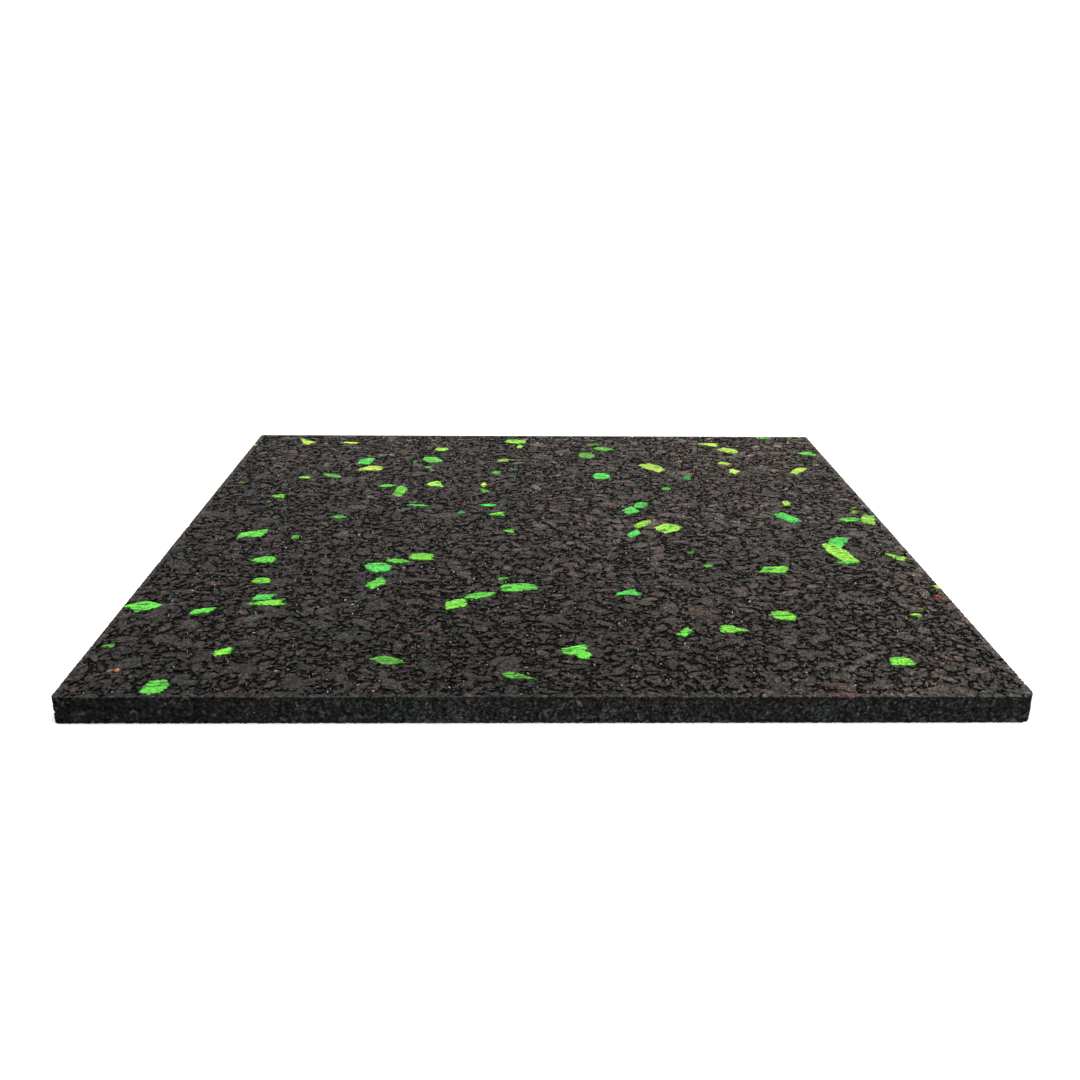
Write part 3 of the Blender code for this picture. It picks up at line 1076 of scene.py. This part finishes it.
def dyed_rubber(name, dust):
    """Dyed rubber with black dust rubbed into it; `dust` is the colour that the two make together."""
    material = bpy.data.materials.new(name)
    material.use_nodes = True
    tree = material.node_tree
    shader = tree.nodes["Principled BSDF"]
    place = node(tree, "ShaderNodeTexCoord").outputs["Object"]
    tint = node(tree, "ShaderNodeAttribute", attribute_name=TINT).outputs["Color"]
    pits = noise_node(tree, place, scale=600.0, detail=3.0, roughness=0.7)
    cloud = noise_node(tree, place, scale=170.0, detail=2.0)
    drawn_out = along_fibres(tree, place, heading=8.0, stretch=4.0)
    streaks = noise_node(tree, drawn_out, scale=480.0, detail=3.0)
    colour = shaded(tree, tint, ranged(tree, cloud, 0.3, 0.7, 0.72, 1.22))
    colour = blended(tree, "MIX", ranged(tree, pits, 0.50, 0.61, 0.0, 0.85), colour, dust)
    colour = blended(tree, "MIX", ranged(tree, streaks, 0.52, 0.62, 0.0, 0.92), colour, dust)
    tree.links.new(colour, shader.inputs["Base Color"])
    tree.links.new(ranged(tree, cloud, 0.3, 0.7, 0.55, 0.75), shader.inputs["Roughness"])
    shader.inputs["Specular IOR Level"].default_value = DYED_GLOSS
    pitted = bumped(tree, pits, strength=0.8, distance=0.35 * MM)
    tree.links.new(pitted, shader.inputs["Normal"])
    return material


green_flakes.data.materials.append(dyed_rubber("green_dyed_rubber", GREEN_DUST))
stray_crumbs.data.materials.append(dyed_rubber("rust_dyed_rubber", RUST_DUST))
print("finishes:", green_flakes.data.materials[0].name, stray_crumbs.data.materials[0].name)

# %% [markdown]
# ## Hand the pieces over
# The tile is one body, so every piece rides on it. The body of crumb stands for the plain slab, which then
# hides.

# %% Ride and replace
black_pieces = (crumb_body, rim_chips, coarse_chips, medium_crumbs, fine_crumbs, pale_grit_and_glints)
for piece in (*black_pieces, edge_crumbs, underside_crumbs):
    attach(piece, "root")
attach(green_flakes, "root")
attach(stray_crumbs, "root")
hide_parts("rubber_tile")

# %% [markdown]
# ## Floor and light
# The tile is shown alone on white. A pale floor and a bright even sky leave almost no shadow, as a light
# tent does. One wide lamp above and a little in front lights the floor along the front side too.

# %% Pale floor
FLOOR_HALF_SIDE = 12.0
BELOW_TILE = 0.05 * MM
floor_mesh = bmesh.new()
bmesh.ops.create_grid(floor_mesh, x_segments=8, y_segments=8, size=FLOOR_HALF_SIDE)
floor_data = bpy.data.meshes.new("studio_floor")
floor_mesh.to_mesh(floor_data)
floor_mesh.free()
floor = bpy.data.objects.new("studio_floor", floor_data)
floor.location.z = -BELOW_TILE
bpy.context.scene.collection.objects.link(floor)
floor_paint = bpy.data.materials.new("pale_floor")
floor_paint.use_nodes = True
floor_shader = floor_paint.node_tree.nodes["Principled BSDF"]
floor_shader.inputs["Base Color"].default_value = (0.95, 0.95, 0.95, 1.0)
floor_shader.inputs["Roughness"].default_value = 0.9
floor_shader.inputs["Specular IOR Level"].default_value = 0.0
floor_data.materials.append(floor_paint)

# %% Even white surroundings and one soft lamp
SKY_STRENGTH = 1.22
LAMP_WATTS = 10.0
LAMP_WIDTH = 1.0
LAMP_PLACE = (0.25, -0.35, 1.25)
sky = bpy.data.worlds.new("light_tent")
sky.use_nodes = True
sky.node_tree.nodes["Background"].inputs["Color"].default_value = (1.0, 0.985, 0.96, 1.0)
sky.node_tree.nodes["Background"].inputs["Strength"].default_value = SKY_STRENGTH
bpy.context.scene.world = sky


def aim(thing, target):
    """Turn a lamp so that it shines on the target."""
    thing.rotation_euler = (Vector(target) - thing.location).to_track_quat("-Z", "Y").to_euler()


lamp_data = bpy.data.lights.new("overhead_lamp", "AREA")
lamp_data.shape = "DISK"
lamp_data.size = LAMP_WIDTH
lamp_data.energy = LAMP_WATTS
lamp = bpy.data.objects.new("overhead_lamp", lamp_data)
lamp.location = LAMP_PLACE
aim(lamp, (0.0, 0.0, 0.0))
bpy.context.scene.collection.objects.link(lamp)
print("sky", SKY_STRENGTH, "lamp", LAMP_WATTS, "W")

# %% [markdown]
# ## The camera
# The view was matched to the straight outlines of the tile. Three turns describe it: yaw from the +Y axis,
# pitch below the horizon and a small roll, and the lens follows from the width of the sensor.

# %% Set the camera
CAMERA_PLACE = Vector((-0.01466, -0.75921, 0.29059))
CAMERA_YAW = math.radians(1.143)
CAMERA_PITCH = math.radians(20.522)
CAMERA_ROLL = math.radians(0.507)
LENS_MM = 37.845
SENSOR_MM = 36.0

forward = Vector((
    math.sin(CAMERA_YAW) * math.cos(CAMERA_PITCH),
    math.cos(CAMERA_YAW) * math.cos(CAMERA_PITCH),
    -math.sin(CAMERA_PITCH),
))
level_right = Vector((math.cos(CAMERA_YAW), -math.sin(CAMERA_YAW), 0.0))
level_up = level_right.cross(forward)
right = level_right * math.cos(CAMERA_ROLL) + level_up * math.sin(CAMERA_ROLL)
up = level_up * math.cos(CAMERA_ROLL) - level_right * math.sin(CAMERA_ROLL)
camera_data = bpy.data.cameras.new("photo_camera")
camera_data.lens = LENS_MM
camera_data.sensor_width = SENSOR_MM
camera_data.clip_start = 0.01
camera_data.clip_end = 100.0
camera = bpy.data.objects.new("photo_camera", camera_data)
camera.matrix_world = Matrix.Translation(CAMERA_PLACE) @ Matrix((right, up, -forward)).transposed().to_4x4()
bpy.context.scene.collection.objects.link(camera)
bpy.context.scene.camera = camera
bpy.context.scene.view_settings.view_transform = "Standard"
print("camera at", CAMERA_PLACE.to_tuple(5), "lens", LENS_MM, "mm")
